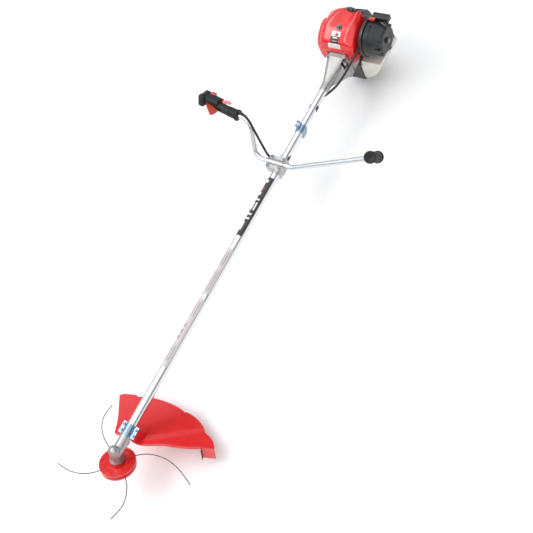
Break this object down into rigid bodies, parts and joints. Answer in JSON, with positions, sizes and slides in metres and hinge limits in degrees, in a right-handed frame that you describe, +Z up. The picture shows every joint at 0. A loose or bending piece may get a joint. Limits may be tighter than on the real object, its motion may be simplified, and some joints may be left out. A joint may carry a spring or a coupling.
{
  "type": "brush cutter",
  "caption": "Petrol brush cutter: straight shaft with a small engine at the rear, bicycle handlebar with throttle grip, red guard and a round fixed-line trimmer head.",
  "frame": {"origin": "centre of the harness eye, 31 mm above the shaft axis", "axes": "+X forward along the shaft towards the cutter, +Y to the operator's left, +Z up, square to the shaft"},
  "size_m": [1.7591, 0.7072, 0.4178],
  "materials": {
    "tube": "bright satin drawn tube",
    "steel": "ground steel",
    "dark_steel": "dark oxidised steel",
    "zinc": "blue-white zinc plate",
    "cast": "as-cast, blasted",
    "bronze": "sintered bronze",
    "red": "glossy red moulding",
    "orange": "semi-gloss orange-red",
    "black": "fine-textured black moulding",
    "grip": "ribbed soft grip",
    "cable": "black sheath",
    "line": "twisted nylon line",
    "tank_white": "milky polyethylene",
    "clear_bulb": "soft translucent bulb",
    "foam": "open-cell filter foam"
  },
  "bodies": {
    "tool": {"upper_tube": "tube", "lower_tube": "tube", "shaft_bushes": "bronze", "bearings": "steel", "clutch_housing": "cast", "piston": "cast", "con_rod": "steel", "crankcase": "cast", "fan_case": "cast", "cylinder": "cast", "spark_plug": "black", "ignition_coil": "black", "muffler": "dark_steel", "muffler_cover": "red", "carburettor": "cast", "air_cleaner_base": "black", "air_filter": "foam", "air_cleaner_cover": "black", "top_cover": "red", "cover_screws": "zinc", "recoil_housing": "black", "fuel_tank": "tank_white", "tank_foot": "black", "handle_bracket": "cast", "handle_cap": "cast", "bolts": "zinc", "right_handle": "tube", "left_handle": "tube", "left_grip": "grip", "throttle_grip": "grip", "throttle_cable": "cable", "cable_clips": "black", "hanger_clamp": "zinc", "gear_case": "cast", "guard": "red", "guard_clamp": "zinc", "line_cutter": "dark_steel"},
    "crank": {"crankshaft": "steel", "flywheel": "cast", "clutch_shoes": "dark_steel"},
    "drive": {"drive_shaft": "steel", "clutch_drum": "steel", "pinion_gear": "steel"},
    "cutter": {"output_shaft": "steel", "head_upper": "red", "head_lower": "red", "head_nut": "zinc", "trimmer_line_1": "line", "trimmer_line_2": "line", "trimmer_line_3": "line", "trimmer_line_4": "line"},
    "trigger": {"throttle_trigger": "orange"},
    "lockout": {"lockout_lever": "red"},
    "switch": {"stop_switch": "red"},
    "choke": {"choke_lever": "red"},
    "primer": {"primer_bulb": "clear_bulb"},
    "starter": {"starter_grip": "black"},
    "pulley": {"recoil_pulley": "black"},
    "fuel_cap": {"tank_cap": "black"},
    "filler_cap": {"oil_cap": "black"}
  },
  "joints": [
    {"name": "drive_spin", "type": "hinge", "parent": "tool", "child": "drive", "pos_m": [0, 0, -0.031], "axis": [1, 0, 0], "continuous": true},
    {"name": "cutter_spin", "type": "hinge", "parent": "tool", "child": "cutter", "pos_m": [1.153, 0, -0.031], "axis": [-0.5, 0, 0.866], "continuous": true},
    {"name": "crank_spin", "type": "hinge", "parent": "tool", "child": "crank", "pos_m": [-0.3, 0, -0.031], "axis": [1, 0, 0], "continuous": true},
    {"name": "throttle_squeeze", "type": "hinge", "parent": "tool", "child": "trigger", "pos_m": [0.08591, -0.24514, 0.136], "axis": [-0.4923, 0.1752, 0.8526], "range_deg": [0, 14], "stiffness_Nm_per_rad": 0.4, "springref_deg": -8.59},
    {"name": "lockout_press", "type": "hinge", "parent": "tool", "child": "lockout", "pos_m": [0.06428, -0.21005, 0.12709], "axis": [-0.2643, -0.1239, -0.9565], "range_deg": [0, 12], "stiffness_Nm_per_rad": 0.2, "springref_deg": -8.59},
    {"name": "stop_slide", "type": "slide", "parent": "tool", "child": "switch", "axis": [-0.0876, -0.9845, 0.1517], "range_m": [0, 0.004]},
    {"name": "choke_turn", "type": "hinge", "parent": "tool", "child": "choke", "pos_m": [-0.36, 0.0885, 0.015], "axis": [0, 1, 0], "range_deg": [0, 28]},
    {"name": "primer_press", "type": "slide", "parent": "tool", "child": "primer", "axis": [-1, 0, 0], "range_m": [0, 0.004], "stiffness_N_per_m": 300, "springref_m": -0.001},
    {"name": "pulley_spin", "type": "hinge", "parent": "tool", "child": "pulley", "pos_m": [-0.39, 0, -0.031], "axis": [1, 0, 0], "range_deg": [0, 208], "stiffness_Nm_per_rad": 0.02, "springref_deg": -171.89},
    {"name": "starter_pull", "type": "slide", "parent": "tool", "child": "starter", "axis": [0, -1, 0], "range_m": [0, 0.08]},
    {"name": "fuel_cap_turn", "type": "hinge", "parent": "tool", "child": "fuel_cap", "pos_m": [-0.45, 0.06, -0.111], "axis": [-1, 0, 0], "range_deg": [0, 270]},
    {"name": "filler_cap_turn", "type": "hinge", "parent": "tool", "child": "filler_cap", "pos_m": [-0.345, 0.05, -0.046], "axis": [0, 1, 0], "range_deg": [0, 270]}
  ],
  "couplings": [
    {"joint": "cutter_spin", "follows": "drive_spin", "ratio": 0.73684},
    {"joint": "starter_pull", "follows": "pulley_spin", "m_per_rad": 0.022}
  ]
}
